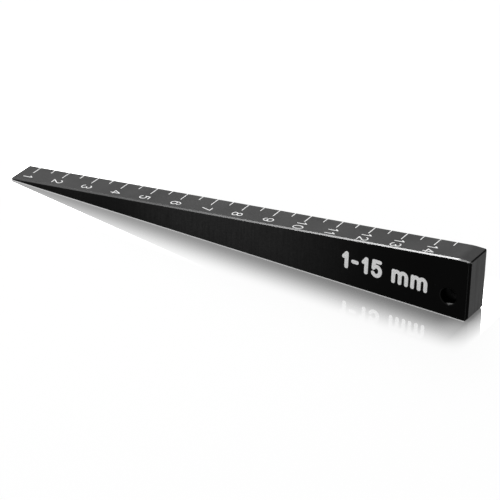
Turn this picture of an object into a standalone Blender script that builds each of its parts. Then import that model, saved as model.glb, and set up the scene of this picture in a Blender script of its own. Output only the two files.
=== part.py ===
"""Ride height gauge: a wedge-shaped bar of black anodised aluminium with a scale engraved on its sloping top.

The bar lies along X with its thin tip at -X. Its underside rests on z = 0 and its origin is the middle of the
underside. The graduations start at the back edge (+Y), and the numerals stand in front of them.
"""

import math

import bmesh
import bpy
from mathutils import Matrix, Vector

# Driving dimensions, in metres.
TIP_HEIGHT = 0.0006
TOP_HEIGHT = 0.015
BAR_WIDTH = 0.008
LAND_LENGTH = 0.0032
STEP_LENGTH = 0.00825  # length of bar over which the top rises by one millimetre
BEND_RADIUS = 0.012  # blends the slope into the level land

TOP_EDGE_CHAMFER = 0.0003
BOTTOM_EDGE_CHAMFER = 0.00015
END_UPRIGHT_CHAMFER = 0.0005
END_LEVEL_CHAMFER = 0.0002

HOLE_DIAMETER = 0.004
HOLE_SINK_DIAMETER = 0.0044
HOLE_FROM_END = 0.005
HOLE_HEIGHT = 0.005

MARK_WIDTH = 0.00025
MARK_DEPTH = 0.0001
WHOLE_MARK_LENGTH = 0.0036
HALF_MARK_LENGTH = 0.0022
NUMERAL_HEIGHT = 0.00275
NUMERAL_WIDTH = 0.00175
NUMERAL_GAP = 0.0008
NUMERAL_FROM_FRONT = 0.00225  # from the bar's front face to the middle of a numeral
NUMERAL_UPHILL = 0.0001  # from a graduation to the middle of its numeral, up the slope

RANGE_HEIGHT = 0.0042
RANGE_GLYPH_WIDTH = 0.0029
RANGE_GAP = 0.0007
RANGE_STROKE = 0.0008
RANGE_FROM_END = 0.0212  # from the thick end to the middle of the text
RANGE_BASE_HEIGHT = 0.0042

# How finely round shapes are cut into facets.
BEND_FACETS = 6
HOLE_FACETS = 48
FULL_TURN_FACETS = 20
STROKE_END_FACETS = 4
FLAT_ANGLE = math.radians(0.1)  # faces that meet at less than this are one flat face
SHARP_ANGLE = math.radians(35)  # faces that meet at more than this show an edge
MITRE_LIMIT = 0.5  # keeps a band from growing past twice its width at a sharp corner

CUTTER_OVERRUN = 0.001  # how far a cutter reaches out past the surface that it opens
ENGRAVER_THICKNESS = 2 * MARK_DEPTH  # it lies half in the surface and half above it
WELD_DISTANCE = 1e-7
SAME_PLACE = 1e-6
MILLIMETRE = 0.001  # the scale's unit

ANODISED_COLOUR = (0.018, 0.018, 0.019)
ANODISED_ROUGHNESS = 0.38
ANODISED_METALLIC = 0.6
MARKING_COLOUR = (0.62, 0.62, 0.62)
MARKING_ROUGHNESS = 0.55
MARKING_METALLIC = 0.0

# Sizes that follow from those above.
SLOPE_ANGLE = math.atan2(MILLIMETRE, STEP_LENGTH)
SLOPED_LENGTH = (TOP_HEIGHT - TIP_HEIGHT) / MILLIMETRE * STEP_LENGTH
BAR_LENGTH = SLOPED_LENGTH + LAND_LENGTH
TIP_X = -BAR_LENGTH / 2
END_X = BAR_LENGTH / 2
BEND_X = TIP_X + SLOPED_LENGTH
FIRST_READING = math.ceil(round(TIP_HEIGHT / MILLIMETRE, 6))
TOP_READING = math.floor(round(TOP_HEIGHT / MILLIMETRE, 6))

# Each glyph is a list of strokes on a cell one unit wide and one unit high. A stroke is a list of points and
# arcs, and an arc is (centre x, centre y, radius x, radius y, start degrees, end degrees).
GLYPHS = {
    "0": [[(0.5, 0.5, 0.5, 0.5, 90, 450)]],
    "1": [[(0.07, 0.72), (0.43, 1.0)], [(0.43, 1.0), (0.43, 0.0)]],
    "2": [[(0.5, 0.71, 0.47, 0.29, 170, -35), (0.0, 0.0)], [(0.0, 0.0), (1.0, 0.0)]],
    "3": [
        [(0.47, 0.76, 0.43, 0.24, 165, -90)],
        [(0.47, 0.26, 0.5, 0.26, 90, -165)],
    ],
    "4": [[(0.75, 0.0), (0.75, 1.0)], [(0.75, 1.0), (0.0, 0.3)], [(0.0, 0.3), (1.0, 0.3)]],
    "5": [
        [(0.9, 1.0), (0.13, 1.0)],
        [(0.13, 1.0), (0.08, 0.5)],
        [(0.47, 0.33, 0.5, 0.33, 142, -150)],
    ],
    "6": [[(0.5, 0.3, 0.48, 0.3, 180, 540)], [(0.02, 0.3), (0.5, 0.5, 0.48, 0.5, 180, 50)]],
    "7": [[(0.0, 1.0), (1.0, 1.0)], [(1.0, 1.0), (0.3, 0.0)]],
    "8": [[(0.5, 0.76, 0.42, 0.24, -90, 270)], [(0.5, 0.26, 0.5, 0.26, 90, 450)]],
    "9": [[(0.5, 0.7, 0.48, 0.3, 0, 360)], [(0.98, 0.7), (0.5, 0.5, 0.48, 0.5, 0, -130)]],
    "-": [[(0.0, 0.5), (0.5, 0.5)]],
    "m": [
        [(0.0, 0.0), (0.0, 0.72)],
        [(0.33, 0.5, 0.33, 0.22, 180, 0), (0.66, 0.0)],
        [(0.99, 0.5, 0.33, 0.22, 180, 0), (1.32, 0.0)],
    ],
    " ": [],
}
GLYPH_WIDTHS = {"1": 0.5, "-": 0.5, "m": 1.32, " ": 0.2}


def clear_scene():
    for obj in list(bpy.data.objects):
        bpy.data.objects.remove(obj)


def new_collection(name):
    collection = bpy.data.collections.new(name)
    bpy.context.scene.collection.children.link(collection)
    return collection


def new_material(name, colour, roughness, metallic):
    material = bpy.data.materials.new(name)
    material.use_nodes = True
    shader = material.node_tree.nodes["Principled BSDF"]
    shader.inputs["Base Color"].default_value = (*colour, 1.0)
    shader.inputs["Roughness"].default_value = roughness
    shader.inputs["Metallic"].default_value = metallic
    return material


def new_object(name, mesh, collection, material):
    obj = bpy.data.objects.new(name, mesh)
    collection.objects.link(obj)
    mesh.materials.clear()
    mesh.materials.append(material)
    return obj


def outline_mesh(name, loops, thickness):
    """A flat plate in the XY plane, centred on z = 0, from closed outlines. An inner outline is a hole."""
    curve = bpy.data.curves.new(name, "CURVE")
    curve.dimensions = "2D"
    curve.fill_mode = "BOTH"
    curve.extrude = thickness / 2
    for loop in loops:
        spline = curve.splines.new("POLY")
        spline.points.add(len(loop) - 1)
        for point, (x, y) in zip(spline.points, loop):
            point.co = (x, y, 0.0, 1.0)
        spline.use_cyclic_u = True
    guide = bpy.data.objects.new(name, curve)
    bpy.context.scene.collection.objects.link(guide)
    graph = bpy.context.evaluated_depsgraph_get()
    mesh = bpy.data.meshes.new_from_object(guide.evaluated_get(graph))
    bpy.data.objects.remove(guide)
    bpy.data.curves.remove(curve)
    plate = bmesh.new()
    plate.from_mesh(mesh)
    bmesh.ops.remove_doubles(plate, verts=plate.verts, dist=WELD_DISTANCE)
    plate.to_mesh(mesh)
    plate.free()
    return mesh


def slope_point(reading):
    """The x of the place where the top stands this many millimetres above the underside."""
    return TIP_X + (reading - TIP_HEIGHT / MILLIMETRE) * STEP_LENGTH


def side_outline():
    """The bar seen from the front: a wedge whose slope bends softly into the land."""
    tangent = BEND_RADIUS * math.tan(SLOPE_ANGLE / 2)
    centre_x = BEND_X + tangent
    centre_z = TOP_HEIGHT - BEND_RADIUS
    outline = [(TIP_X, 0.0), (END_X, 0.0), (END_X, TOP_HEIGHT)]
    for i in range(BEND_FACETS + 1):
        angle = SLOPE_ANGLE * i / BEND_FACETS
        outline.append(
            (centre_x - BEND_RADIUS * math.sin(angle), centre_z + BEND_RADIUS * math.cos(angle))
        )
    outline.append((TIP_X, TIP_HEIGHT))
    return outline


def weigh_edges(mesh, widest):
    """Gives each long edge and each edge of the thick end its chamfer, as a share of the widest one."""
    edited = bmesh.new()
    edited.from_mesh(mesh)
    bmesh.ops.dissolve_limit(
        edited, angle_limit=FLAT_ANGLE, verts=edited.verts, edges=edited.edges
    )
    weight = edited.edges.layers.float.new("bevel_weight_edge")
    for edge in edited.edges:
        a, b = (v.co for v in edge.verts)
        runs_across = abs(a.y - b.y) > SAME_PLACE
        if min(a.x, b.x) > END_X - SAME_PLACE:
            chamfer = END_LEVEL_CHAMFER if runs_across else END_UPRIGHT_CHAMFER
            edge[weight] = chamfer / widest
        elif not runs_across and max(a.z, b.z) < SAME_PLACE:
            edge[weight] = BOTTOM_EDGE_CHAMFER / widest
        elif not runs_across and abs(a.x - b.x) > SAME_PLACE:
            edge[weight] = TOP_EDGE_CHAMFER / widest
    edited.to_mesh(mesh)
    edited.free()


def make_bar(collection, material):
    widest = max(TOP_EDGE_CHAMFER, BOTTOM_EDGE_CHAMFER, END_UPRIGHT_CHAMFER, END_LEVEL_CHAMFER)
    mesh = outline_mesh("gauge_bar", [side_outline()], BAR_WIDTH)
    mesh.transform(Matrix.Rotation(math.radians(90), 4, "X"))
    weigh_edges(mesh, widest)
    bar = new_object("gauge_bar", mesh, collection, material)
    chamfer = bar.modifiers.new("edge chamfers", "BEVEL")
    chamfer.limit_method = "WEIGHT"
    chamfer.width = widest
    chamfer.segments = 1
    chamfer.use_clamp_overlap = False
    return bar


def hide_cutter(cutter):
    cutter.hide_render = True
    cutter.display_type = "WIRE"


def make_drill(collection, material):
    """The hanging hole's cutter: a drill with a countersink at each face, turned about the hole's axis."""
    bore = HOLE_DIAMETER / 2
    sink = HOLE_SINK_DIAMETER / 2
    face = BAR_WIDTH / 2
    reach = face + CUTTER_OVERRUN
    profile = [
        (0.0, reach),
        (sink + CUTTER_OVERRUN, reach),
        (bore, face - (sink - bore)),
        (bore, (sink - bore) - face),
        (sink + CUTTER_OVERRUN, -reach),
        (0.0, -reach),
    ]
    mesh = bpy.data.meshes.new("hanging_hole_drill")
    mesh.from_pydata(
        [(r, 0.0, z) for r, z in profile],
        [(i, i + 1) for i in range(len(profile) - 1)],
        [],
    )
    drill = new_object("hanging_hole_drill", mesh, collection, material)
    turned = drill.modifiers.new("turned", "SCREW")
    turned.steps = HOLE_FACETS
    turned.render_steps = HOLE_FACETS
    turned.use_merge_vertices = True
    turned.merge_threshold = WELD_DISTANCE
    drill.location = (END_X - HOLE_FROM_END, 0.0, HOLE_HEIGHT)
    drill.rotation_euler = (math.radians(90), 0.0, 0.0)
    hide_cutter(drill)
    return drill


def arc_points(arc):
    x, y, radius_x, radius_y, start, end = arc
    steps = max(2, round(abs(end - start) / 360 * FULL_TURN_FACETS))
    turns = [math.radians(start + (end - start) * i / steps) for i in range(steps + 1)]
    return [(x + radius_x * math.cos(t), y + radius_y * math.sin(t)) for t in turns]


def stroke_path(stroke, width, height):
    """The stroke's centre line as points, at its real size."""
    points = []
    for item in stroke:
        is_point = len(item) == 2
        points.extend([item] if is_point else arc_points(item))
    return [Vector((x * width, y * height)) for x, y in points]


def side_steps(path, closed):
    """At each point of the path, the sideways step that keeps a band along it one half-width wide."""
    steps = []
    for i, point in enumerate(path):
        before = path[i - 1] if i > 0 or closed else None
        after = path[(i + 1) % len(path)] if i + 1 < len(path) or closed else None
        normals = []
        for a, b in ((before, point), (point, after)):
            if a is not None and b is not None:
                direction = (b - a).normalized()
                normals.append(Vector((-direction.y, direction.x)))
        mean = sum(normals, Vector((0.0, 0.0))).normalized()
        steps.append(mean / max(mean.dot(normals[0]), MITRE_LIMIT))
    return steps


def round_end(tip, side, half_width):
    """Points of a half circle about the tip, from its left side over the end to its right side."""
    forward = Vector((side.y, -side.x))
    turns = [math.pi * i / STROKE_END_FACETS for i in range(1, STROKE_END_FACETS)]
    return [tip + half_width * (side * math.cos(t) + forward * math.sin(t)) for t in turns]


def stroke_outlines(path, half_width):
    """The outlines of a band along the path: a ring on a closed path, and with round ends on an open one."""
    closed = (path[0] - path[-1]).length < SAME_PLACE
    if closed:
        path = path[:-1]
    steps = side_steps(path, closed)
    left = [point + half_width * step for point, step in zip(path, steps)]
    right = [point - half_width * step for point, step in zip(path, steps)]
    if closed:
        return [left, right]
    ends = round_end(path[-1], steps[-1], half_width), round_end(path[0], -steps[0], half_width)
    return [left + ends[0] + right[::-1] + ends[1]]


def text_width(text, glyph_width, gap):
    widths = [GLYPH_WIDTHS.get(glyph, 1.0) * glyph_width for glyph in text]
    return sum(widths) + gap * (len(text) - 1)


def add_mesh(cutter, mesh, matrix):
    mesh.transform(matrix)
    cutter.from_mesh(mesh)
    bpy.data.meshes.remove(mesh)


def add_text(cutter, text, frame, height, glyph_width, gap, stroke_width):
    """Cuts the text into the frame's XY plane. The sizes are measured to the strokes' outer sides."""
    cell_height = height - stroke_width
    cell_width = glyph_width - stroke_width
    spacing = gap + stroke_width
    x = -text_width(text, cell_width, spacing) / 2
    for glyph in text:
        place = frame @ Matrix.Translation((x, -cell_height / 2, 0.0))
        for stroke in GLYPHS[glyph]:
            path = stroke_path(stroke, cell_width, cell_height)
            loops = stroke_outlines(path, stroke_width / 2)
            add_mesh(cutter, outline_mesh("stroke", loops, ENGRAVER_THICKNESS), place)
        x += GLYPH_WIDTHS.get(glyph, 1.0) * cell_width + spacing


def add_graduation(cutter, frame, length):
    """A straight mark from the back edge of the top towards the front, drawn as a box."""
    size = (length + CUTTER_OVERRUN, MARK_WIDTH, ENGRAVER_THICKNESS)
    middle = -BAR_WIDTH / 2 + (length - CUTTER_OVERRUN) / 2
    place = frame @ Matrix.Translation((middle, 0.0, 0.0)) @ Matrix.Diagonal((*size, 1.0))
    bmesh.ops.create_cube(cutter, size=1.0, matrix=place)


def reading_frame(reading):
    """A frame on the middle of the slope: X runs to the front, Y up the slope and Z out of the surface."""
    position = Vector((slope_point(reading), 0.0, reading * MILLIMETRE))
    return (
        Matrix.Translation(position)
        @ Matrix.Rotation(-SLOPE_ANGLE, 4, "Y")
        @ Matrix.Rotation(math.radians(-90), 4, "Z")
    )


def add_scale(cutter):
    """Whole and half millimetre graduations below the land, with a numeral in front of each whole one."""
    for half_steps in range(2 * FIRST_READING, 2 * TOP_READING):
        frame = reading_frame(half_steps / 2)
        if half_steps % 2:
            add_graduation(cutter, frame, HALF_MARK_LENGTH)
            continue
        add_graduation(cutter, frame, WHOLE_MARK_LENGTH)
        middle = Matrix.Translation((BAR_WIDTH / 2 - NUMERAL_FROM_FRONT, NUMERAL_UPHILL, 0.0))
        numeral = str(half_steps // 2)
        add_text(
            cutter, numeral, frame @ middle, NUMERAL_HEIGHT, NUMERAL_WIDTH, NUMERAL_GAP, MARK_WIDTH
        )


def add_range(cutter):
    """The measuring range, on the front face."""
    middle = Vector((END_X - RANGE_FROM_END, -BAR_WIDTH / 2, RANGE_BASE_HEIGHT + RANGE_HEIGHT / 2))
    frame = Matrix.Translation(middle) @ Matrix.Rotation(math.radians(90), 4, "X")
    text = f"{FIRST_READING}-{TOP_READING} mm"
    add_text(cutter, text, frame, RANGE_HEIGHT, RANGE_GLYPH_WIDTH, RANGE_GAP, RANGE_STROKE)


def make_engraver(collection, material):
    """The cutter of every mark on the bar."""
    shapes = bmesh.new()
    add_scale(shapes)
    add_range(shapes)
    mesh = bpy.data.meshes.new("engraver")
    shapes.to_mesh(mesh)
    shapes.free()
    engraver = new_object("engraver", mesh, collection, material)
    hide_cutter(engraver)
    return engraver


def cut(target, cutter, self_crossing=False):
    boolean = target.modifiers.new(cutter.name, "BOOLEAN")
    boolean.operation = "DIFFERENCE"
    boolean.solver = "EXACT"
    boolean.use_self = self_crossing
    boolean.material_mode = "TRANSFER"
    boolean.object = cutter


def apply_cuts(obj):
    """Makes the cut shape the object's own mesh, shaded smooth on its round stretches only."""
    graph = bpy.context.evaluated_depsgraph_get()
    mesh = bpy.data.meshes.new_from_object(obj.evaluated_get(graph))
    obj.modifiers.clear()
    obj.data = mesh
    mesh.shade_smooth()
    mesh.set_sharp_from_angle(angle=SHARP_ANGLE)


def main():
    clear_scene()
    parts = new_collection("Ride height gauge")
    cutters = new_collection("Cutters")
    anodised = new_material(
        "black anodised aluminium", ANODISED_COLOUR, ANODISED_ROUGHNESS, ANODISED_METALLIC
    )
    marked = new_material("laser marking", MARKING_COLOUR, MARKING_ROUGHNESS, MARKING_METALLIC)
    bar = make_bar(parts, anodised)
    cut(bar, make_drill(cutters, anodised))
    cut(bar, make_engraver(cutters, marked), self_crossing=True)
    apply_cuts(bar)


main()
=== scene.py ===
# %% [markdown]
# # Ride height gauge
# A ride height gauge is a small wedge of black anodised aluminium. It is pushed thin end first
# under a model car that stands on a flat plate, and the graduation where the car first touches it
# is the height in millimetres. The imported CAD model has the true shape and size. This lesson makes
# the finer surface that a camera sees, gives it its finishes, and lights it as in a small studio.

import bmesh
import bpy
import numpy as np
from mathutils import Matrix, Vector


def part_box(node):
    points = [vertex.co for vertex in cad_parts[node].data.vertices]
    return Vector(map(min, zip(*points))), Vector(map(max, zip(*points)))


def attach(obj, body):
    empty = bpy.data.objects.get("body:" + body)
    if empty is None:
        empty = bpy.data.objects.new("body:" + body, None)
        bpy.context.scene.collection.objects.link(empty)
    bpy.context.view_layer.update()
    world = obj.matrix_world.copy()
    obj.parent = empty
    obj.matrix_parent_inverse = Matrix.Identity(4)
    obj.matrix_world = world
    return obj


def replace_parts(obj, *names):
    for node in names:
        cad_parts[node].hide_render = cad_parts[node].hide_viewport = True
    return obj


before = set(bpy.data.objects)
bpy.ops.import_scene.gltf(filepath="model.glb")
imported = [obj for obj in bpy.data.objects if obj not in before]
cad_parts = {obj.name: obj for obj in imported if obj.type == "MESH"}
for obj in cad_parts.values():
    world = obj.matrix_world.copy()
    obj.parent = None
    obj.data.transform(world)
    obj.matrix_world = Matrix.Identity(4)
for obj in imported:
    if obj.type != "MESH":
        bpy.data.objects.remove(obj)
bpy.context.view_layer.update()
print("CAD nodes:", sorted(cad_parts))

# %% [markdown]
# ## The camera
# The gauge lies across the picture, thin end far away at the left and thick end near at the right.
# A long lens from well back keeps its edges almost parallel, as in a product photograph. The camera
# could be moved by hand until the picture looks right. A few named figures can be fitted to the
# photograph's edges instead, and show what was done: an azimuth and an elevation round a point on
# the gauge, a small slide sideways, and a roll by the two degrees that the upright edges lean by.

# %% Camera
VIEW_TARGET = np.array([0.014, 0.0, 0.007])
VIEW_AZIMUTH, VIEW_ELEVATION, VIEW_ROLL = np.radians([29.795, 28.143, 2.244])
VIEW_DISTANCE = 0.71236
VIEW_SLIDE = (-0.009677, -0.004695)  # to the right and up, in the camera's own directions
SENSOR_WIDTH, LENS_LENGTH = 36.0, 225.397  # in millimetres, as Blender counts them
CLIP_START = 0.01


def view_directions(azimuth, elevation):
    """Unit vectors to the camera's right, up and back. Azimuth 0 looks along +Y."""
    level_back = np.array([np.sin(azimuth), -np.cos(azimuth), 0.0])
    back = level_back * np.cos(elevation) + np.array([0.0, 0.0, np.sin(elevation)])
    right = np.array([np.cos(azimuth), np.sin(azimuth), 0.0])
    return right, np.cross(back, right), back


def make_camera():
    right, up, back = view_directions(VIEW_AZIMUTH, VIEW_ELEVATION)
    place = VIEW_TARGET + back * VIEW_DISTANCE + right * VIEW_SLIDE[0] + up * VIEW_SLIDE[1]
    rolled_right = np.cos(VIEW_ROLL) * right + np.sin(VIEW_ROLL) * up
    rolled_up = np.cos(VIEW_ROLL) * up - np.sin(VIEW_ROLL) * right
    turned = Matrix((rolled_right, rolled_up, back)).transposed().to_4x4()
    data = bpy.data.cameras.new("product_camera")
    data.sensor_width = SENSOR_WIDTH
    data.lens = LENS_LENGTH
    data.clip_start = CLIP_START
    camera = bpy.data.objects.new("product_camera", data)
    bpy.context.scene.collection.objects.link(camera)
    camera.matrix_world = Matrix.Translation(place) @ turned
    bpy.context.scene.camera = camera
    return camera


camera = make_camera()
print("camera at", tuple(round(v, 4) for v in camera.matrix_world.translation))

# %% [markdown]
# ## The gauge's sizes
# A wedge gauge is designed from its scale: each millimetre of height takes the same length of bar,
# so the length follows from the heights of the two ends and from that step. The sizes could be read
# off the CAD mesh, but named sizes say what they are, and the print below compares the length. They
# are the CAD model's, in metres, with the origin in the middle of the underside. Only three
# chamfers differ, as the photograph shows them: along the bottom, and at the top and the foot of
# the thick end. The chamfers are the edges that a miller breaks with a light cut.

# %% Sizes
MILLIMETRE = 0.001
STEP_LENGTH = 0.00825  # bar length for each millimetre of rise
TIP_HEIGHT = 0.0006
TOP_HEIGHT = 0.015
LAND_LENGTH = 0.0032
BAR_WIDTH = 0.008
BEND_RADIUS = 0.012
TOP_CHAMFER = 0.0003
BOTTOM_CHAMFER = 0.0001
END_UPRIGHT_CHAMFER = 0.0005
END_TOP_CHAMFER = 0.00026
END_FOOT_CHAMFER = 0.00065

HALF_WIDTH = BAR_WIDTH / 2
SLOPE = np.arctan2(MILLIMETRE, STEP_LENGTH)
SLOPED_LENGTH = (TOP_HEIGHT - TIP_HEIGHT) / MILLIMETRE * STEP_LENGTH
END_X = (SLOPED_LENGTH + LAND_LENGTH) / 2
TIP_X = -END_X
BEND_X = TIP_X + SLOPED_LENGTH
bar_low, bar_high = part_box("gauge_bar")
print(f"length {END_X - TIP_X:.5f}, and the CAD bar's is {bar_high.x - bar_low.x:.5f}")

# %% [markdown]
# ## Rounded outlines
# No machined edge is perfectly sharp. Where two flat faces meet, a tiny radius catches a thread of
# light, and without it metal looks like paper. Blender's Bevel could round every edge, but here
# each outline is worked out with its arcs, so that their size and the number of facets are known
# and the faces stay orderly.

# %% Rounded outlines and offsets
MITRE_LIMIT = 0.5  # a sharp corner grows to twice the width at most


def rounded_path(corners, radius, steps):
    """A line through the corners, with an arc in place of each inner corner. Where the line turns
    by an angle t, the arc starts radius * tan(t / 2) before the corner. Its centre lies one radius
    to the side that the line turns to, and a point after a turn of a is the centre, less radius *
    cos(a) to that side, plus radius * sin(a) ahead."""
    corners = np.asarray(corners, float)
    legs = np.diff(corners, axis=0)
    legs /= np.linalg.norm(legs, axis=1, keepdims=True)
    ahead, after = legs[:-1], legs[1:]
    turn = np.arccos(np.clip((ahead * after).sum(1), -1, 1))[:, None]
    side = (after - ahead * np.cos(turn)) / np.sin(turn)
    start = corners[1:-1] - ahead * radius * np.tan(turn / 2)
    angle = turn * np.linspace(0, 1, steps + 1)
    arcs = (
        (start + radius * side)[:, None]
        - radius * side[:, None] * np.cos(angle)[..., None]
        + radius * ahead[:, None] * np.sin(angle)[..., None]
    )
    return np.vstack([corners[:1], arcs.reshape(-1, 2), corners[-1:]])


def side_steps(path, closed=False):
    """At each point of a flat path, the step to its left that moves every side of the path by one
    unit. It is the mean of the two sides' normals, lengthened by one over the cosine of half the
    turn."""
    before, after = (path[-1:], path[:1]) if closed else (path[:1], path[-1:])
    legs = np.diff(np.vstack([before, path, after]), axis=0)
    length = np.linalg.norm(legs, axis=1, keepdims=True)
    normals = np.stack([-legs[:, 1], legs[:, 0]], 1) / np.where(length > 0, length, 1)
    mean = normals[:-1] + normals[1:]
    mean /= np.linalg.norm(mean, axis=1, keepdims=True)
    reference = np.where(length[:-1] > 0, normals[:-1], normals[1:])
    return mean / np.maximum((mean * reference).sum(1, keepdims=True), MITRE_LIMIT)


corner_test = rounded_path([(0, 0), (1, 0), (1, 1)], 0.25, 8)
print("arc points in a test corner:", len(corner_test) - 2)

# %% [markdown]
# ## From grids to a closed skin
# The skin of the gauge is a few grids of points, some flat polygons and one tube for the hole. They
# share their border points, so welding those closes the skin. Normals are the mean of the faces
# round each point, weighted by area. A wide flat face then keeps its own direction right up to a
# tiny rounded edge, and only the edge shades from one face to the next. Plain smooth shading would
# smear a soft gradient over the flat faces.

# %% A skin of grids
WELD = 2e-7


class Skin:
    """Collects grids and polygons, and welds them into one object."""

    def __init__(self):
        self.points, self.faces, self.finishes = [], [], []

    def _place(self, points):
        first = sum(map(len, self.points))
        self.points.append(points.reshape(-1, 3))
        return first + np.arange(points.size // 3).reshape(points.shape[:-1])

    def grid(self, points, finish=0, round_again=False):
        """Quads between the rows and columns of points. round_again joins the last row to the
        first. finish is one slot for all of the quads, a slot for each column, or a slot for each
        quad."""
        index = self._place(points)
        if round_again:
            index = np.vstack([index, index[:1]])
        quads = np.stack([index[:-1, :-1], index[1:, :-1], index[1:, 1:], index[:-1, 1:]], -1)
        self.faces += quads.reshape(-1, 4).tolist()
        self.finishes += np.broadcast_to(np.atleast_2d(finish), quads.shape[:2]).ravel().tolist()

    def polygon(self, points, finish=0):
        self.faces.append(self._place(points).tolist())
        self.finishes.append(finish)

    def make(self, name, materials, smooth=True):
        mesh = bpy.data.meshes.new(name)
        mesh.from_pydata(np.vstack(self.points).tolist(), [], self.faces)
        mesh.polygons.foreach_set("material_index", self.finishes)
        edited = bmesh.new()
        edited.from_mesh(mesh)
        bmesh.ops.remove_doubles(edited, verts=edited.verts, dist=WELD)
        bmesh.ops.recalc_face_normals(edited, faces=edited.faces)
        self.open_edges = sum(not edge.is_manifold for edge in edited.edges)
        edited.to_mesh(mesh)
        edited.free()
        if smooth:
            weigh_normals(mesh)
        for material in materials:
            mesh.materials.append(material)
        made = bpy.data.objects.new(name, mesh)
        bpy.context.scene.collection.objects.link(made)
        print(f"{name}: {len(mesh.polygons)} faces, {self.open_edges} open edges")
        return made


def weigh_normals(mesh):
    """Gives each point the mean of its faces' normals, weighted by their areas."""
    faces = len(mesh.polygons)
    corners = np.empty(len(mesh.loops), np.int32)
    normals, areas, totals = np.empty(faces * 3), np.empty(faces), np.empty(faces, np.int32)
    mesh.loops.foreach_get("vertex_index", corners)
    mesh.polygons.foreach_get("normal", normals)
    mesh.polygons.foreach_get("area", areas)
    mesh.polygons.foreach_get("loop_total", totals)
    weighted = np.repeat(normals.reshape(-1, 3) * areas[:, None], totals, axis=0)
    summed = np.zeros((len(mesh.vertices), 3))
    np.add.at(summed, corners, weighted)
    summed /= np.linalg.norm(summed, axis=1, keepdims=True)
    mesh.polygons.foreach_set("use_smooth", np.ones(faces, bool))
    mesh.normals_split_custom_set_from_vertices(summed)


print("points closer than", WELD, "m become one")

# %% [markdown]
# ## The wedge bar: its top line and its stations
# The bar is one section carried along its length. The section grows with the top line: a long
# slope, a soft bend and a short level land, where the gauge can rest upside down. A block cut by a
# few planes would give the flat faces, but not the soft bend or the tip, which is too thin for full
# edges. Sections stand close together where something changes, at the rounded tip, round the hole,
# over the bend and at the broken edges of the thick end, and far apart along the plain slope.

# %% Top line and stations
EDGE_RADIUS = 0.00005  # what tumbling and anodising leave on a broken edge
EDGE_STEPS = 3
TIP_ROUNDING = 0.00015
TIP_EASE = 0.00004
TIP_STEPS = 6
END_STEPS = 12
HOLE_FROM_END = 0.005
HOLE_HEIGHT = 0.005
HOLE_X = END_X - HOLE_FROM_END
PATCH_REACH = 0.0036  # half the length of the stretch whose sides hold the hole
PATCH_STEPS = 36
SLOPE_STEPS = 40


def top_line(x):
    """The slope rises one millimetre a step. An arc of BEND_RADIUS, tangent to it and to the land,
    joins the two: its height is the arc centre's height plus sqrt(radius^2 - distance to the
    centre^2)."""
    tangent = BEND_RADIUS * np.tan(SLOPE / 2)
    slope = TOP_HEIGHT + (x - BEND_X) * MILLIMETRE / STEP_LENGTH
    reach = np.clip(BEND_X + tangent - x, 0, BEND_RADIUS)
    arc = TOP_HEIGHT - BEND_RADIUS + np.sqrt(BEND_RADIUS**2 - reach**2)
    return np.where(x < BEND_X - tangent * np.cos(SLOPE), slope, arc)


def end_inset(chamfer):
    """Rows of x and inset along a chamfer with rounded edges at the thick end."""
    corners = [(-2 * chamfer, 0), (-chamfer, 0), (0, chamfer), (0, 2 * chamfer)]
    return rounded_path(corners, EDGE_RADIUS, EDGE_STEPS)[:-1] + (END_X, 0)


def set_stations():
    """Rows of x, side inset, top inset, foot inset and squash. The sides draw in on a quarter
    circle at the tip, where the thin bar has no room for its full edges, so there they are
    squashed. At the thick end the sides draw in along the upright chamfers, and the top and the
    underside along chamfers of their own."""
    reach = 2 * TIP_ROUNDING
    tip_corners = [(TIP_X, reach), (TIP_X, 0), (TIP_X + reach, 0)]
    tip = rounded_path(tip_corners, TIP_ROUNDING, TIP_STEPS)[1:]
    insets = [end_inset(c) for c in (END_UPRIGHT_CHAMFER, END_TOP_CHAMFER, END_FOOT_CHAMFER)]
    between = END_X - np.linspace(max(END_UPRIGHT_CHAMFER, END_FOOT_CHAMFER), 0, END_STEPS + 1)
    end_x = np.unique(np.concatenate([between, *(inset[:, 0] for inset in insets)]).round(8))
    end = np.column_stack([end_x, *(np.interp(end_x, *inset.T) for inset in insets)])
    before_hole, after_hole = HOLE_X - PATCH_REACH, HOLE_X + PATCH_REACH
    plain = np.linspace(TIP_X + reach, before_hole, SLOPE_STEPS + 1)[1:-1]
    patch = np.linspace(before_hole, after_hole, PATCH_STEPS + 1)
    middle = np.concatenate([plain, patch])
    ease = tip[:, 1] * TIP_EASE / TIP_ROUNDING
    rows = np.vstack([np.column_stack([tip, ease, ease]), np.outer(middle, (1, 0, 0, 0)), end])
    squash = np.where(rows[:, 0] < 0, 1 - 2 * rows[:, 2] / top_line(rows[:, 0]), 1)
    first = len(tip) + len(plain)
    return np.column_stack([rows, squash]), first, first + PATCH_STEPS


sections, patch_first, patch_last = set_stations()
tip_top, end_top = top_line(sections[[0, -1], 0])
print(f"{len(sections)} sections, heights {tip_top:.5f} to {end_top:.5f}")

# %% [markdown]
# ## The wedge bar: its skin
# A strip of skin goes over the top with both its chamfers, and another under the bottom. Flat sides
# join the two. Each finish of the bar has a material slot of its own: the plain faces, the broken
# edges, which handling has made smoother than the flats, the foot, whose pale grey is a painted
# reflection of the plate, the milled end, the bore and its countersinks. One material with a mask
# for each would do as well, but slots keep every finish simple, and a face shows which it has.

# %% Strips over the top and under the bottom
# These are the numbers of the material slots.
PLAIN, EDGE, FOOT, END_FACE, DRILLED, SUNK = range(6)
EDGE_ROOM = 0.00004  # side face that goes with a strip, below its chamfer
CHAMFER_PARTS = 6


def split_side(path, number, parts):
    """The path with its side of this number cut into equal parts."""
    share = np.linspace(0, 1, parts + 1)[1:-1, None]
    between = path[number] * (1 - share) + path[number + 1] * share
    return np.vstack([path[: number + 1], between, path[number + 1 :]])


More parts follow.
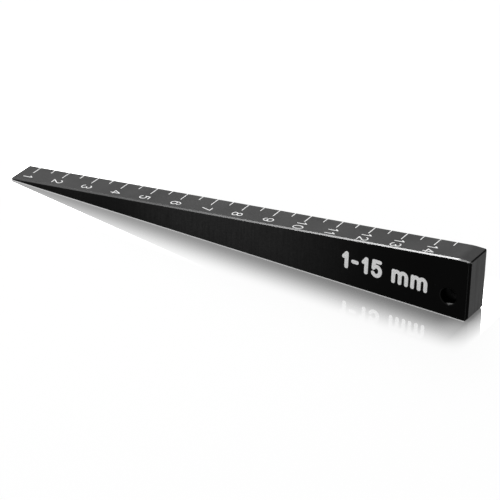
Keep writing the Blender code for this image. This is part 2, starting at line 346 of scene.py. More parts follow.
def strip(chamfer, level_line, level, outward):
    """The outline of half a section at every station: a flat with a chamfer to each side, its
    corners rounded. The outline moves with the line it follows, and by the station's level inset.
    What stands out past the side inset is cut back to it: the cut is (d + sqrt(d^2 + soft^2)) / 2
    for a distance d past it, so its edge is soft."""
    drop = chamfer + EDGE_ROOM
    half = [(-HALF_WIDTH, -drop), (-HALF_WIDTH, -chamfer), (-HALF_WIDTH + chamfer, 0)]
    outline = rounded_path(half + [(-y, z) for y, z in half[::-1]], EDGE_RADIUS, EDGE_STEPS)
    first_chamfer, last_chamfer = EDGE_STEPS + 1, 3 * EDGE_STEPS + 3
    for number in (last_chamfer, first_chamfer):
        outline = split_side(outline, number, CHAMFER_PARTS)
    x, side, squash = sections[:, [0, 1, 4]].T[..., None]
    past = np.abs(outline[:, 0]) - HALF_WIDTH + side
    soft = EDGE_RADIUS * np.clip(side / TOP_CHAMFER, 0, 1)
    y = outline[:, 0] - np.sign(outline[:, 0]) * (past + np.hypot(past, soft)) / 2
    z = level_line(x) + outward * (squash * outline[:, 1] - level[:, None])
    return np.stack([x + 0 * y, y, z], -1)


top_skin = strip(TOP_CHAMFER, top_line, sections[:, 2], 1)
bottom_skin = strip(BOTTOM_CHAMFER, lambda x: 0 * x, sections[:, 3], -1)
edge_count = 2 * EDGE_STEPS + CHAMFER_PARTS


def strip_finish(flat, edge):
    return [PLAIN, *[edge] * edge_count, flat, *[edge] * edge_count, PLAIN]


print("points in a strip:", top_skin.shape[1], "lowest point:", bottom_skin[..., 2].min())

# %% [markdown]
# ## The hanging hole
# The drilled hole goes straight through both sides, and a countersink takes the burr off each
# mouth. A Boolean would cut it, but would leave the flat side in long splinters. Here the side is
# made round the hole instead: each point on the border of a stretch of side runs inwards to its own
# point on a circle. The arris between a side and the upright chamfer of the thick end shines
# faintly, so a sliver of it has the finish of an edge. The chamfer at the foot of that end was cut
# with it and has its finish.

# %% Sides and hole
HOLE_RADIUS = 0.002
SINK_RADIUS = 0.0022
MOUTH_RADIUS = 0.00223  # the circle on the side face where the turned tube begins
HOLE_EDGE_RADIUS = 0.00003
COLUMN_STEPS = 60
RING_STEPS = 6
ARRIS_REACH = 0.00001  # how far the shine of the upright arris reaches from its middle


def patch_border(lower, upper):
    """Points round the stretch with the hole: along its bottom, up its right side, back along its
    top and down."""
    rise = np.linspace(0, 1, COLUMN_STEPS + 1)[:, None]
    left = lower[patch_first] + rise * (upper[patch_first] - lower[patch_first])
    right = lower[patch_last] + rise * (upper[patch_last] - lower[patch_last])
    bottom, top = lower[patch_first:patch_last], upper[patch_first + 1 : patch_last + 1]
    return np.vstack([bottom, right[:-1], top[::-1], left[:0:-1]]), left, right


def hole_turns(count):
    """Evenly spaced angles, started so that those of the patch's bottom lie evenly about straight
    down."""
    return 2 * np.pi * (np.arange(count) - PATCH_STEPS / 2) / count - np.pi / 2


def side_face(skin, lower, upper):
    """A side between the two borders that it shares with the strips: quads before and behind the
    patch with the hole, a polygon at each end of the patch, and in it rings that run from the
    border to the hole's mouth."""
    border, left, right = patch_border(lower, upper)
    turns = hole_turns(len(border))
    mouth = np.stack([
        HOLE_X + MOUTH_RADIUS * np.cos(turns), 0 * turns + lower[patch_first, 1],
        HOLE_HEIGHT + MOUTH_RADIUS * np.sin(turns)], 1)
    inward = np.linspace(0, 1, RING_STEPS + 1)[:, None]
    skin.grid(border[:, None] * (1 - inward) + mouth[:, None] * inward, round_again=True)
    walls = np.stack([lower, upper], 1)
    skin.grid(walls[:patch_first])
    skin.polygon(np.vstack([walls[patch_first - 1], left[::-1]]))
    skin.polygon(np.vstack([walls[patch_last + 1], right[::-1]]))
    from_arris = np.abs(sections[patch_last + 1 : -1, 0] - END_X + END_UPRIGHT_CHAMFER)
    skin.grid(walls[patch_last + 1 :], np.where(from_arris < ARRIS_REACH, EDGE, PLAIN)[:, None])


def bore(count):
    """A turned tube. Its profile is a radius for each depth: mouth, countersink, bore, countersink
    and mouth."""
    sink_depth = SINK_RADIUS - HOLE_RADIUS
    mouth, sink = (MOUTH_RADIUS, -HALF_WIDTH), (SINK_RADIUS, -HALF_WIDTH)
    half = [mouth, sink, (HOLE_RADIUS, sink_depth - HALF_WIDTH)]
    corners = half + [(radius, -y) for radius, y in half[::-1]]
    radius, y = rounded_path(corners, HOLE_EDGE_RADIUS, EDGE_STEPS).T
    turns = hole_turns(count)[:, None]
    x, z = HOLE_X + radius * np.cos(turns), HOLE_HEIGHT + radius * np.sin(turns)
    return np.stack([x, y + 0 * turns, z], -1)


bar_skin = Skin()
bar_skin.grid(top_skin, strip_finish(PLAIN, EDGE))
foot_finish = np.tile(strip_finish(FOOT, FOOT), (len(sections) - 1, 1))
foot_finish[sections[:-1, 0] > END_X - END_FOOT_CHAMFER - EDGE_RADIUS] = END_FACE
bar_skin.grid(bottom_skin, foot_finish)
for column in (0, -1):
    side_face(bar_skin, bottom_skin[:, column], top_skin[:, column])
for station, finish in ((0, EDGE), (-1, END_FACE)):
    bar_skin.polygon(np.vstack([top_skin[station], bottom_skin[station][::-1]]), finish)
border_count = 2 * (PATCH_STEPS + COLUMN_STEPS)
mouth_finish = [PLAIN] * (1 + EDGE_STEPS) + [SUNK] * (1 + EDGE_STEPS)
bar_skin.grid(bore(border_count), [*mouth_finish, DRILLED, *mouth_finish[::-1]], round_again=True)
print("points round the hole:", border_count)

# %% [markdown]
# ## The scale's lettering
# The scale is lasered through the black layer with a single line of about 0.25 mm, so each numeral
# is a few strokes of constant width with round ends. Blender's Text objects have fonts with thick
# and thin parts, which would look printed. Here each glyph is a list of strokes on a cell one unit
# wide and high, made of points and arcs.

# %% Glyphs
# An arc is (centre x, centre y, radius x, radius y, start degrees, end degrees).
GLYPHS = {
    "0": [[(0.5, 0.5, 0.5, 0.5, 90, 450)]],
    "1": [[(0.07, 0.7), (0.43, 0.97)], [(0.43, 0.97), (0.43, 0.02)]],
    "2": [[(0.46, 0.71, 0.47, 0.29, 170, -35), (0.0, 0.02)], [(0.0, 0.02), (0.97, 0.02)]],
    "3": [[(0.47, 0.76, 0.43, 0.24, 165, -90)], [(0.47, 0.26, 0.5, 0.26, 90, -165)]],
    "4": [[(0.75, 0.0), (0.75, 1.0)], [(0.75, 1.0), (0.0, 0.3)], [(0.0, 0.3), (1.0, 0.3)]],
    "5": [[(0.9, 1.0), (0.13, 1.0)], [(0.13, 1.0), (0.08, 0.5)],
          [(0.47, 0.33, 0.5, 0.33, 142, -150)]],
    "6": [[(0.5, 0.3, 0.48, 0.3, 180, 540)], [(0.02, 0.3), (0.5, 0.62, 0.45, 0.38, 180, 15)]],
    "7": [[(0.1, 1.02), (0.96, 1.02)], [(0.96, 1.02), (0.4, 0.08)]],
    "8": [[(0.5, 0.76, 0.42, 0.24, -90, 270)], [(0.5, 0.26, 0.5, 0.26, 90, 450)]],
    "9": [[(0.5, 0.7, 0.48, 0.3, 0, 360)], [(0.98, 0.7), (0.5, 0.38, 0.45, 0.38, 0, -155)]],
    "-": [[(0.0, 0.5), (0.5, 0.5)]],
    "m": [[(0.0, 0.0), (0.0, 0.74)], [(0.42, 0.46, 0.42, 0.28, 180, 0), (0.84, 0.0)],
          [(1.26, 0.46, 0.42, 0.28, 180, 0), (1.68, 0.0)]],
    " ": [],
}
GLYPH_WIDTHS = {"1": 0.5, "-": 0.5, "m": 1.68, " ": 0.1}
ARC_STEP = 7.5  # degrees


def arc(centre_x, centre_y, radius_x, radius_y, start, end):
    """Points at the centre plus the radii times the cosine and sine of an angle that goes from
    start to end."""
    turn = np.radians(np.linspace(start, end, int(abs(end - start) / ARC_STEP) + 2))
    return np.stack([centre_x + radius_x * np.cos(turn), centre_y + radius_y * np.sin(turn)], 1)


def stroke_line(stroke):
    """The points of a stroke, in which each item is a point or an arc."""
    return np.vstack([[item] if len(item) == 2 else arc(*item) for item in stroke])


print("glyphs:", "".join(GLYPHS))

# %% [markdown]
# ## From strokes to ribbons
# On the real gauge a mark has next to no depth. A mark could be a patch of colour in the bar's
# material, but baked into an image it would lose its sharp border. So each stroke becomes a shallow
# closed ribbon with round ends, that stands a few thousandths of a millimetre out of the metal.

# %% Ribbons
MARK_LIFT = 0.000006
MARK_THICKNESS = 0.00005
STROKE_LIFT = 0.000001  # each stroke lies this much above the one before, so no faces coincide
ROUND_END = np.radians([25, 50, 75])  # turns at which a stroke's round end has points


def round_ends(path, half_width):
    """The path run on past both ends, and its half width at each point, which falls there as on a
    half circle."""
    first, last = path[0] - path[1], path[-1] - path[-2]
    first, last = first / np.linalg.norm(first), last / np.linalg.norm(last)
    run_on = half_width * np.sin(ROUND_END)[:, None]
    narrow = half_width * np.cos(ROUND_END)
    path = np.vstack([path[0] + first * run_on[::-1], path, path[-1] + last * run_on])
    full = np.full(len(path) - 2 * len(narrow), half_width)
    return path, np.concatenate([narrow[::-1], full, narrow])


def add_ribbon(skin, path, half_width, lift, frame_of):
    """A closed ribbon along a flat path: each section is a rectangle, half_width to each side and
    MARK_THICKNESS deep, with its top at lift above the surface. frame_of places points given as
    (across, along, outward)."""
    closed = np.allclose(path[0], path[-1])
    path, widths = (path[:-1], half_width) if closed else round_ends(path, half_width)
    steps = side_steps(path, closed) * np.reshape(widths, (-1, 1))
    left, right = path + steps, path - steps
    base = lift - MARK_THICKNESS
    levels = [(left, lift), (right, lift), (right, base), (left, base), (left, lift)]
    section = np.stack([np.column_stack([line, np.full(len(line), z)]) for line, z in levels], 1)
    placed = frame_of(section)
    skin.grid(placed, round_again=closed)
    if not closed:
        skin.polygon(placed[0, :4])
        skin.polygon(placed[-1, :4])


def add_text(skin, text, frame_of, height, glyph_width, gap, stroke_width):
    """Centred text. Its sizes are measured to the outer sides of its strokes."""
    cell = np.array([glyph_width, height]) - stroke_width
    spacing = gap + stroke_width
    widths = [GLYPH_WIDTHS.get(glyph, 1.0) * cell[0] for glyph in text]
    x = -(sum(widths) + spacing * (len(text) - 1)) / 2
    for glyph, width in zip(text, widths):
        for number, stroke in enumerate(GLYPHS[glyph]):
            path = stroke_line(stroke) * cell + (x, -cell[1] / 2)
            add_ribbon(skin, path, stroke_width / 2, MARK_LIFT + number * STROKE_LIFT, frame_of)
        x += width + spacing


print("a mark stands out by", MARK_LIFT, "m")

# %% [markdown]
# ## Numerals and graduations
# Each whole millimetre has a long line from the back edge and a numeral in front of it, and each
# half millimetre a short line. The numerals are read with the thick end up, so their tops point up
# the slope. The lines run out over the back chamfer, because the laser sweeps past the edge. A box
# for each line would stand off there, so a line is a ribbon that follows the section of the bar,
# over the flat and down the chamfer.

# %% The scale
LINE_WIDTH = 0.00025
WHOLE_LINE = 0.0036
HALF_LINE = 0.0022
NUMERAL_HEIGHT = 0.00275
NUMERAL_WIDTH = 0.00175
NUMERAL_GAP = 0.0008
NUMERAL_STROKE = 0.00027
NUMERAL_FROM_FRONT = 0.00225
NUMERAL_UPHILL = 0.00006
LOW_NUMERAL, LOW_BY = 5, 0.00034  # the laser set this one a little further down the slope
CREEP_AFTER, CREEP = 10, 0.000055  # past this one each stands a little further up than the last
FIRST_READING, TOP_READING = 1, 15


def placing(origin, across, along):
    """A function that places points given in a frame with these first two axes. The third is their
    cross product."""
    axes = np.array([across, along, np.cross(across, along)])
    return lambda points: origin + points @ axes


def reading_frame(reading, y, uphill=0.0):
    """A frame on the slope, uphill of where it stands this many millimetres high: across to the
    front and along up the slope."""
    x = TIP_X + (reading - TIP_HEIGHT / MILLIMETRE) * STEP_LENGTH
    up_slope = np.array([np.cos(SLOPE), 0.0, np.sin(SLOPE)])
    origin = np.array([x, y, reading * MILLIMETRE]) + uphill * up_slope
    return placing(origin, (0.0, -1.0, 0.0), up_slope)


def add_graduation(skin, reading, length):
    """A line as wide as LINE_WIDTH that follows the section of the bar. Its outline runs over the
    surface at MARK_LIFT and back under it, and is carried across the line's width."""
    inner, outer = length - HALF_WIDTH, TOP_CHAMFER - HALF_WIDTH
    corners = [(inner, 0), (outer, 0), (-HALF_WIDTH, -TOP_CHAMFER)]
    surface = rounded_path(corners, EDGE_RADIUS, EDGE_STEPS)
    step = side_steps(surface)
    over, under = surface - step * MARK_LIFT, surface + step * (MARK_THICKNESS - MARK_LIFT)
    outline = np.vstack([over, under[::-1]])
    side = np.array([-LINE_WIDTH / 2, LINE_WIDTH / 2])
    points = np.empty((len(outline), 2, 3))
    points[..., 0], points[..., 2] = outline[:, :1], outline[:, 1:]
    points[..., 1] = side
    placed = reading_frame(reading, 0.0)(points)
    skin.grid(placed, round_again=True)
    skin.polygon(placed[:, 0])
    skin.polygon(placed[:, 1])


line_skin, numeral_skin = Skin(), Skin()
for half_steps in range(2 * FIRST_READING, 2 * TOP_READING):
    add_graduation(line_skin, half_steps / 2, HALF_LINE if half_steps % 2 else WHOLE_LINE)
for reading in range(FIRST_READING, TOP_READING):
    uphill = NUMERAL_UPHILL - (LOW_BY if reading == LOW_NUMERAL else 0.0)
    uphill += CREEP * max(0, reading - CREEP_AFTER)
    place = reading_frame(reading, NUMERAL_FROM_FRONT - HALF_WIDTH, uphill)
    add_text(
        numeral_skin, str(reading), place,
        NUMERAL_HEIGHT, NUMERAL_WIDTH, NUMERAL_GAP, NUMERAL_STROKE,
    )
print("graduations:", 2 * (TOP_READING - FIRST_READING), "numerals:", TOP_READING - FIRST_READING)

# %% [markdown]
# ## The measuring range
# The front side says what the gauge measures, in bold letters near the thick end, filled by many
# laser passes. A bold font would give them too, but the scale's own glyphs with a wider stroke
# match the numerals, and the round ends are those of a wide mark.

# %% Range on the front side
RANGE_HEIGHT = 0.0045
RANGE_GLYPH_WIDTH = 0.0029
RANGE_GAP = 0.0006
RANGE_STROKE = 0.00095
RANGE_FROM_END = 0.0212
RANGE_BASE_HEIGHT = 0.0041
range_middle = np.array([END_X - RANGE_FROM_END, -HALF_WIDTH, RANGE_BASE_HEIGHT + RANGE_HEIGHT / 2])
range_skin = Skin()
range_text = f"{FIRST_READING}-{TOP_READING} mm"
range_place = placing(range_middle, (1.0, 0.0, 0.0), (0.0, 0.0, 1.0))
add_text(
    range_skin, range_text, range_place, RANGE_HEIGHT, RANGE_GLYPH_WIDTH, RANGE_GAP, RANGE_STROKE
)
print("range text centred at", range_middle.round(4))

# %% [markdown]
# ## Finishes: how nodes are set
# Every finish is a Principled shader whose roughness, bump or colour follows a pattern in the
# object's own metres, so a pattern has a real size. The nodes could be laid out by hand in the
# Shader Editor, but a script shows every value. A small helper adds a node, sets its values and
# links, and returns it, and others do sums with nodes.

# %% Node helpers
def add_node(tree, kind, links=(), **values):
    """Adds a node. values set its properties, and links are (socket name or number, value or output
    socket)."""
    node = tree.nodes.new(kind)
    for name, value in values.items():
        setattr(node, name, value)
    for name, value in links:
        if isinstance(value, bpy.types.NodeSocket):
            tree.links.new(value, node.inputs[name])
        else:
            node.inputs[name].default_value = value
    return node


def new_finish(name):
    """An empty material, its nodes, their output node, and the object's coordinates."""
    material = bpy.data.materials.new(name)
    material.use_nodes = True
    tree = material.node_tree
    tree.nodes.clear()
    output = add_node(tree, "ShaderNodeOutputMaterial")
    return material, tree, output, add_node(tree, "ShaderNodeTexCoord").outputs["Object"]


def pattern(tree, where, size, detail=2.0, stretch=(1.0, 1.0, 1.0)):
    """Noise whose grains are about size metres across, drawn out along an axis by its share of
    stretch."""
    shares = [1 / share for share in stretch]
    scaled = add_node(tree, "ShaderNodeMapping", [("Vector", where), ("Scale", shares)])
    links = [("Vector", scaled.outputs[0]), ("Scale", 1 / size), ("Detail", detail)]
    return add_node(tree, "ShaderNodeTexNoise", links).outputs["Fac"]


def ranged(tree, value, low, high, to_low, to_high, smooth=False):
    """The value's range from low to high carried to the one from to_low to to_high, straight or
    with an S curve."""
    links = [("Value", value), ("From Min", low), ("From Max", high)]
    links += [("To Min", to_low), ("To Max", to_high)]
    kind = "SMOOTHSTEP" if smooth else "LINEAR"
    return add_node(tree, "ShaderNodeMapRange", links, interpolation_type=kind).outputs["Result"]


def combined(tree, operation, first, second=0.0):
    """A sum of one or two numbers, by the name that Blender gives the operation."""
    numbers = [(0, first), (1, second)]
    return add_node(tree, "ShaderNodeMath", numbers, operation=operation).outputs[0]


def vector(tree, operation, first, second=(0.0, 0.0, 0.0)):
    vectors = [(0, first), (1, second)]
    return add_node(tree, "ShaderNodeVectorMath", vectors, operation=operation).outputs["Vector"]


def length_of(tree, value):
    return add_node(tree, "ShaderNodeVectorMath", [(0, value)], operation="LENGTH").outputs["Value"]


def blended(tree, share, colour, other):
    """The colour where share is zero, and the other where it is one. Each is a colour or an output
    socket."""
    node = add_node(tree, "ShaderNodeMix", data_type="RGBA")
    for name, value in ("Factor", share), ("A", colour), ("B", other):
        socket = next(s for s in node.inputs if s.name == name and s.enabled)
        if isinstance(value, bpy.types.NodeSocket):
            tree.links.new(value, socket)
        else:
            socket.default_value = (*value, 1.0)
    return next(s for s in node.outputs if s.enabled)


print("patterns are set in metres")

# %% [markdown]
# ## Black anodised aluminium
# The bar is milled, blasted to a satin skin, anodised and dyed black. The dyed oxide is a clear
# layer over black, so it takes its light almost only from what it mirrors: the top, seen at a low
# angle, looks grey, and the side, seen nearly square on, looks black. A low specular level on a
# nearly black base does just that. A dark grey base with no gloss would look the same from
# everywhere. A fine grain and faint milling marks across the bar move its roughness and its bump.
# A painted sheen, which stands in for a reflection, lifts the black of the sides a little: a
# lighter grey is mixed into their colour. It fades from the thin end, is strongest over the middle,
# and is broken up by the upright streaks of the side mill.

# %% Anodised finish
DYE, DYE_CLOUD = (0.0003, 0.0003, 0.0003), (0.0007, 0.0007, 0.0007)
# The grey of a painted sheen on the sides, which stands in for a reflection.
SHEEN_GREY = (0.93, 0.93, 0.93)
SIDE_DEPTH = 0.00005  # how far in from the sides the painted sheen reaches
THIN_END_SHEEN, MIDDLE_SHEEN = 0.0065, 0.0155
THIN_END_FADE = (-0.044, 0.05)  # places along the bar between which the painted sheen from the thin end fades
SHEEN_FROM, SHEEN_FULL_FROM, SHEEN_FULL_TO, SHEEN_TO = -0.036, -0.008, 0.002, 0.04  # painted sheen
NOISE_SPREAD = (0.3, 0.7)  # nearly all of a noise pattern lies between these
SUM_SPREAD = (0.7, 1.3)  # and nearly all of the sum of two
STREAK_SIZE, STREAK_STRETCH, STREAK_SHARES = 0.0004, (1.0, 1.0, 14.0), (0.8, 1.2)
SPECKLE_SIZE, SPECKLE_SHARES = 0.00028, (0.72, 1.28)
GRAIN_SIZE, CLOUD_SIZE = 0.00022, 0.009
MILLING_SIZE, MILLING_STRETCH, MILLING_SHARE = 0.0005, (1.0, 60.0, 60.0), 0.6
RELIEF_STRENGTH, RELIEF_DEPTH = 0.4, 0.00002
SKIN_ROUGHNESS, SKIN_GLOSS = (0.28, 0.38), 0.026


def side_haze(tree, where):
    """How much painted sheen, standing in for a reflection, a point on the sides has: a fall along
    the length plus a hump over its middle, times the shares of the streaks and of the speckle."""
    place = add_node(tree, "ShaderNodeSeparateXYZ", [(0, where)]).outputs
    fall = ranged(tree, place["X"], *THIN_END_FADE, THIN_END_SHEEN, 0.0)
    rise = ranged(tree, place["X"], SHEEN_FROM, SHEEN_FULL_FROM, 0.0, MIDDLE_SHEEN, smooth=True)
    release = ranged(tree, place["X"], SHEEN_FULL_TO, SHEEN_TO, 1.0, 0.0, smooth=True)
    middle_hump = combined(tree, "MULTIPLY", rise, release)
    streaks = pattern(tree, where, STREAK_SIZE, stretch=STREAK_STRETCH)
    streaks = ranged(tree, streaks, *NOISE_SPREAD, *STREAK_SHARES)
    speckle = ranged(tree, pattern(tree, where, SPECKLE_SIZE), *NOISE_SPREAD, *SPECKLE_SHARES)
    depth = combined(tree, "ABSOLUTE", place["Y"])
    on_side = combined(tree, "GREATER_THAN", depth, HALF_WIDTH - SIDE_DEPTH)
    uneven = combined(tree, "MULTIPLY", streaks, speckle)
    amount = combined(tree, "MULTIPLY", combined(tree, "ADD", fall, middle_hump), uneven)
    return combined(tree, "MULTIPLY", amount, on_side)


def anodised_finish():
    material, tree, output, where = new_finish("black_anodised")
    grain = pattern(tree, where, GRAIN_SIZE)
    milling = pattern(tree, where, MILLING_SIZE, stretch=MILLING_STRETCH)
    cloud = pattern(tree, where, CLOUD_SIZE)
    terms = [(0, milling), (1, MILLING_SHARE), (2, grain)]
    relief = add_node(tree, "ShaderNodeMath", terms, operation="MULTIPLY_ADD").outputs[0]
    bump = add_node(tree, "ShaderNodeBump", [
        ("Height", relief), ("Strength", RELIEF_STRENGTH), ("Distance", RELIEF_DEPTH)])
    grain_and_cloud = combined(tree, "ADD", grain, cloud)
    roughness = ranged(tree, grain_and_cloud, *SUM_SPREAD, *SKIN_ROUGHNESS)
    # The sides' colour carries the painted sheen.
    colour = blended(tree, side_haze(tree, where), blended(tree, cloud, DYE, DYE_CLOUD), SHEEN_GREY)
    shader = add_node(tree, "ShaderNodeBsdfPrincipled", [
        ("Base Color", colour), ("Roughness", roughness), ("Normal", bump.outputs[0]),
        ("Specular IOR Level", SKIN_GLOSS)])
    tree.links.new(shader.outputs[0], output.inputs["Surface"])
    return material


anodised = anodised_finish()
# The value printed is the strength of the painted sheen over the middle of the sides.
print("haze in the middle of the sides:", round(THIN_END_SHEEN / 2 + MIDDLE_SHEEN, 4))

# %% [markdown]
# ## Broken edges, end and hole
# The broken edges are cut after the flats and handled most, so they shine more, and catch the lamps
# as bright threads. The end is cut across the bar with an end mill, whose passes band its
# roughness. Its lighter grey, in the same upright bands, is a painted reflection. The hole is
# drilled last, and its wall is rough and holds no light. A crescent of pale grey on the lower lip
# of the front mouth is a painted glint, and the middle of the bore is a little paler, fading with
# the depth. Both are worked out from distances. These are the same kind of shader with other
# figures, so one function makes all of them: a streaked pattern moves the colour and the
# roughness, and a pale grey may be blended in.

# %% Finishes of edges, end and hole
ALONG_BAR, UPRIGHT = (4.0, 1.0, 1.0), (1.0, 1.0, 9.0)  # stretches of a pattern
FINE_DETAIL = 3.0
# A pale grey for the painted glint on the lip of the hole and for the paler middle of the bore.
GLINT_AND_PALE_GREY = (0.3, 0.3, 0.3)
GLINT_TURN = np.radians(-78)  # the turn round the hole at which the painted glint lies
GLINT_X = HOLE_X + HOLE_RADIUS * np.cos(GLINT_TURN)
GLINT_Z = HOLE_HEIGHT + HOLE_RADIUS * np.sin(GLINT_TURN)
GLINT_PLACE = (GLINT_X, -HALF_WIDTH, GLINT_Z)
GLINT_FULL, GLINT_REACH = 0.0005, 0.0011  # full glint to the first distance, none from the second
# How pale the middle of the bore is, and how far from the middle that fades.
MIDDLE_PALENESS, MIDDLE_PALENESS_REACH = 0.15, 0.0015


def worn_bore(tree, where):
    """A painted glint: one at the lower lip of the front mouth, falling on an S curve with the
    distance from there. The middle of the bore has a small share of pale grey that falls with the
    depth from there."""
    from_lip = length_of(tree, vector(tree, "SUBTRACT", where, GLINT_PLACE))
    lip = ranged(tree, from_lip, GLINT_FULL, GLINT_REACH, 1.0, 0.0, smooth=True)
    depth = add_node(tree, "ShaderNodeSeparateXYZ", [(0, where)]).outputs["Y"]
    pale_middle = ranged(tree, combined(tree, "ABSOLUTE", depth), 0.0, MIDDLE_PALENESS_REACH, MIDDLE_PALENESS, 0.0)
    return combined(tree, "MAXIMUM", lip, pale_middle)


def cut_finish(name, size, greys, roughness, gloss, stretch=(1.0, 1.0, 1.0), paler_share=None):
    """A finish that goes from the first grey and roughness to the second ones by a pattern of this
    size and stretch. The last argument, if given, is a function for the share of a pale grey, as
    for the painted glint in the bore."""
    material, tree, output, where = new_finish(name)
    cut = pattern(tree, where, size, FINE_DETAIL, stretch)
    cut = ranged(tree, cut, *NOISE_SPREAD, 0.0, 1.0)
    colour = blended(tree, cut, *((grey,) * 3 for grey in greys))
    if paler_share:
        # A pale grey blended in here holds the painted glint.
        colour = blended(tree, paler_share(tree, where), colour, GLINT_AND_PALE_GREY)
    shader = add_node(tree, "ShaderNodeBsdfPrincipled", [
        ("Base Color", colour), ("Roughness", ranged(tree, cut, 0.0, 1.0, *roughness)),
        ("Specular IOR Level", gloss)])
    tree.links.new(shader.outputs[0], output.inputs["Surface"])
    return material


bar_finishes = [
    anodised,
    cut_finish("rubbed_edge", size=0.002, greys=(0.003, 0.006), roughness=(0.24, 0.25),
               gloss=0.65, stretch=ALONG_BAR),
    # The foot's pale grey is a painted reflection of the white plate.
    cut_finish("foot_painted_reflection", size=0.002, greys=(0.48, 0.62), roughness=(0.34, 0.38),
               gloss=1.2, stretch=ALONG_BAR),
    # The end's lighter grey, in upright bands, is a painted reflection.
    cut_finish("milled_end", size=0.0016, greys=(0.004, 0.044), roughness=(0.3, 0.42),
               gloss=0.06, stretch=UPRIGHT),
    cut_finish("drilled_wall", size=0.0003, greys=(0.0003, 0.0012), roughness=(0.6, 0.7),
               gloss=0.0, paler_share=worn_bore),
    cut_finish("turned_countersink", size=0.0004, greys=(0.001, 0.003), roughness=(0.26, 0.32),
               gloss=0.06),
]
print("finishes of the bar:", [material.name for material in bar_finishes])

# %% [markdown]
# ## Laser marking
# The laser burns the dye out of the oxide and leaves a matt, slightly grainy grey white. The thin
# lines of the scale are one pass wide and even. The bold letters are filled pass by pass, so they
# are coarser and more speckled. A speckle between two greys with a fine bump shows that; an even
# white would look like paint.

# %% Marking finish
BURN_SPREAD = (0.35, 0.65)  # narrower than the noise, so that the speckle is crisp
BURN_STRENGTH, BURN_DEPTH = 0.2, 0.00001
BURN_ROUGHNESS, BURN_GLOSS = 0.55, 0.3


def marking_finish(name, greys, grain_size):
    material, tree, output, where = new_finish(name)
    speckle = ranged(tree, pattern(tree, where, grain_size, FINE_DETAIL), *BURN_SPREAD, 0.0, 1.0)
    colour = blended(tree, speckle, *((grey,) * 3 for grey in greys))
    bump = add_node(tree, "ShaderNodeBump", [
        ("Height", speckle), ("Strength", BURN_STRENGTH), ("Distance", BURN_DEPTH)])
    shader = add_node(tree, "ShaderNodeBsdfPrincipled", [
        ("Base Color", colour), ("Roughness", BURN_ROUGHNESS), ("Normal", bump.outputs[0]),
        ("Specular IOR Level", BURN_GLOSS)])
    tree.links.new(shader.outputs[0], output.inputs["Surface"])
    return material


line_marking = marking_finish("laser_line", greys=(0.68, 0.8), grain_size=0.0001)
broad_marking = marking_finish("laser_fill", greys=(0.52, 0.95), grain_size=0.00016)
print("markings:", line_marking.name, broad_marking.name)

# %% [markdown]
# ## The pieces
# The bar replaces the CAD bar, with the finishes made above. The graduations, the numerals and the
# range are pieces of their own that ride on the same body. They could be faces of the bar with
# another material, but a pattern baked into one image for each piece would blur so thin a line in
# the bar's.

# %% Pieces
bar = bar_skin.make("milled_bar", bar_finishes)
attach(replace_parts(bar, "gauge_bar"), "root")
for name, skin, material in (
    ("graduations", line_skin, line_marking),
    ("numerals", numeral_skin, line_marking),
    ("range_marking", range_skin, broad_marking),
):
    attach(skin.make(name, [material], smooth=False), "root")

# %% [markdown]
# ## Floor
# The gauge stands on a white glossy plate, which mirrors it close by and fades to plain white. A
# real plate does that because its gloss is uneven and the light tent washes it out further off. One
# glossy shader all over would mirror the lamps and the edge of the world too. So a mirror is mixed
# into a white finish by the distance from the gauge's footprint, more of it near the thick end, and
# less of it round the corner that is set down first, where the plate is scuffed. Only the camera
# sees the mirror: lamps that shone off it would leave bright specks along the gauge's foot. Near
# the gauge most of the white is a glow that only the camera and mirrors see, and the rest is lit,
# so the plate is white with plain lamps and still takes the gauge's soft shadow.

# %% Floor
WHITE = (1.0, 1.0, 1.0, 1.0)
FLOOR_REACH = 3.0
FLOOR_WHITE = 0.98
FLOOR_GLOW = 0.85  # share of the floor's white that no shadow dims, near the gauge
GLOW_RISE = (0.1, 0.5)  # distances between which that share grows to all of it
MIRROR_SHARES = (0.612, 0.828)  # at the tip and at the thick end
MIRROR_REACHES = (0.0089, 0.0145)  # how far beside the gauge it has faded out, at the same ends
MIRROR_ROUGHNESS = 0.035
REACH_PAST_END = 0.005
SCUFFED_SHARE, SCUFF_REACH = 0.78, 0.0065  # what the scuff leaves of the mirror, and its radius
SCUFF_OUT = 0.003  # from the corner of the gauge out to the middle of the scuff
SCUFF_PLACE = (END_X, -HALF_WIDTH - SCUFF_OUT, 0.0)


def rays_of_the_view(tree):
    """One for a ray that comes from the camera, or by a mirror or a clear material, and zero for
    light that spreads."""
    path = add_node(tree, "ShaderNodeLightPath").outputs
    by_mirror = combined(tree, "MAXIMUM", path["Is Glossy Ray"], path["Is Transmission Ray"])
    return combined(tree, "MAXIMUM", path["Is Camera Ray"], by_mirror)


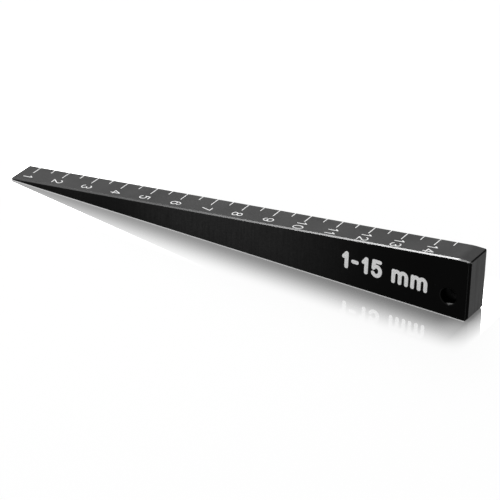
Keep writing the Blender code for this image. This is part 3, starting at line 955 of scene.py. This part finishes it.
def mirror_share(tree, where):
    """The share falls on an S curve with the distance to the gauge's side, and straight with the
    distance past its end. The distances are |y| - half width and |x| - half length. In the scuff it
    is less, and for a ray that doesn't come from the camera it is zero."""
    place = add_node(tree, "ShaderNodeSeparateXYZ", [(0, where)]).outputs
    nearest = ranged(tree, place["X"], TIP_X, END_X, *MIRROR_SHARES)
    reach = ranged(tree, place["X"], TIP_X, END_X, *MIRROR_REACHES)
    beside = combined(tree, "SUBTRACT", combined(tree, "ABSOLUTE", place["Y"]), HALF_WIDTH)
    past = combined(tree, "SUBTRACT", combined(tree, "ABSOLUTE", place["X"]), END_X)
    share = ranged(tree, beside, 0.0, reach, nearest, 0.0, smooth=True)
    share = combined(tree, "MULTIPLY", share, ranged(tree, past, 0.0, REACH_PAST_END, 1.0, 0.0))
    from_scuff = length_of(tree, vector(tree, "SUBTRACT", where, SCUFF_PLACE))
    scuffed = ranged(tree, from_scuff, 0.0, SCUFF_REACH, SCUFFED_SHARE, 1.0, smooth=True)
    seen = add_node(tree, "ShaderNodeLightPath").outputs["Is Camera Ray"]
    return combined(tree, "MULTIPLY", combined(tree, "MULTIPLY", share, scuffed), seen)


def mixed(tree, share, shader, other):
    """A node that gives the first shader where share is zero, and the other where it is one."""
    links = [(0, share), (1, shader.outputs[0]), (2, other.outputs[0])]
    return add_node(tree, "ShaderNodeMixShader", links)


def floor_finish():
    material, tree, output, where = new_finish("white_plate")
    lit = add_node(tree, "ShaderNodeBsdfDiffuse", [("Color", (*[FLOOR_WHITE] * 3, 1.0))])
    glow = add_node(tree, "ShaderNodeEmission", [("Color", WHITE)])
    level = ranged(tree, length_of(tree, where), *GLOW_RISE, FLOOR_GLOW, 1.0, smooth=True)
    glow_share = combined(tree, "MULTIPLY", rays_of_the_view(tree), level)
    white = mixed(tree, glow_share, lit, glow)
    mirror_values = [("Color", WHITE), ("Roughness", MIRROR_ROUGHNESS)]
    mirror = add_node(tree, "ShaderNodeBsdfGlossy", mirror_values)
    plate = mixed(tree, mirror_share(tree, where), white, mirror)
    tree.links.new(plate.outputs[0], output.inputs["Surface"])
    return material


corners = np.array([(-1, -1, 0), (1, -1, 0), (1, 1, 0), (-1, 1, 0)]) * FLOOR_REACH
floor_skin = Skin()
floor_skin.polygon(corners)
floor = floor_skin.make("floor", [floor_finish()], smooth=False)

# %% [markdown]
# ## Light
# The photograph looks like a white light tent: soft light from above, white all round in the mirror
# images, and a bright back that the sloping top mirrors. A studio picture (HDRI) would give that
# too, but three plain lamps in a white world are easier to understand and to change. The overhead
# softbox lights the plate and the markings, the back softbox stands where the top mirrors it, and a
# small lamp at the front left draws the bright thread along the front edge, brighter towards the
# thick end, which it is near. The world is seen at full white by the camera and by mirrors, but
# lights the scene at less than half of that, so that it and the lamps together show a colour about
# as it is written.

# %% Light
SKY_LIGHT = 0.38
MIDDLE = (0.0, 0.0, 0.0)
OVERHEAD_PLACE = (0.0, 0.45, 0.8)
BACK_PLACE = (-0.48, 0.85, 0.42)
THICK_END = np.array([0.05, -0.004, 0.015])
EDGE_LIGHT_PLACE = THICK_END + np.array([-0.495, -0.432, 0.752])


def make_world():
    world = bpy.data.worlds.new("white_studio")
    bpy.context.scene.world = world
    world.use_nodes = True
    tree = world.node_tree
    tree.nodes.clear()
    output = add_node(tree, "ShaderNodeOutputWorld")
    strength = ranged(tree, rays_of_the_view(tree), 0.0, 1.0, SKY_LIGHT, 1.0)
    sky = add_node(tree, "ShaderNodeBackground", [("Color", WHITE), ("Strength", strength)])
    tree.links.new(sky.outputs[0], output.inputs["Surface"])


def add_softbox(name, place, aim, size, radiance):
    """A rectangular lamp. Its power is its radiance times its area times pi."""
    data = bpy.data.lights.new(name, "AREA")
    data.shape = "RECTANGLE"
    data.size, data.size_y = size
    data.energy = radiance * size[0] * size[1] * np.pi
    lamp = bpy.data.objects.new(name, data)
    bpy.context.scene.collection.objects.link(lamp)
    lamp.location = place
    lamp.rotation_euler = (Vector(aim) - Vector(place)).to_track_quat("-Z", "Y").to_euler()
    print(f"{name}: {data.energy:.2f} W")


make_world()
add_softbox("overhead_softbox", OVERHEAD_PLACE, MIDDLE, size=(0.8, 0.6), radiance=2.1)
add_softbox("back_softbox", BACK_PLACE, MIDDLE, size=(0.8, 0.5), radiance=3.72)
add_softbox("edge_light", EDGE_LIGHT_PLACE, THICK_END, size=(0.1, 0.1), radiance=95.0)
bpy.context.scene.view_settings.view_transform = "Standard"
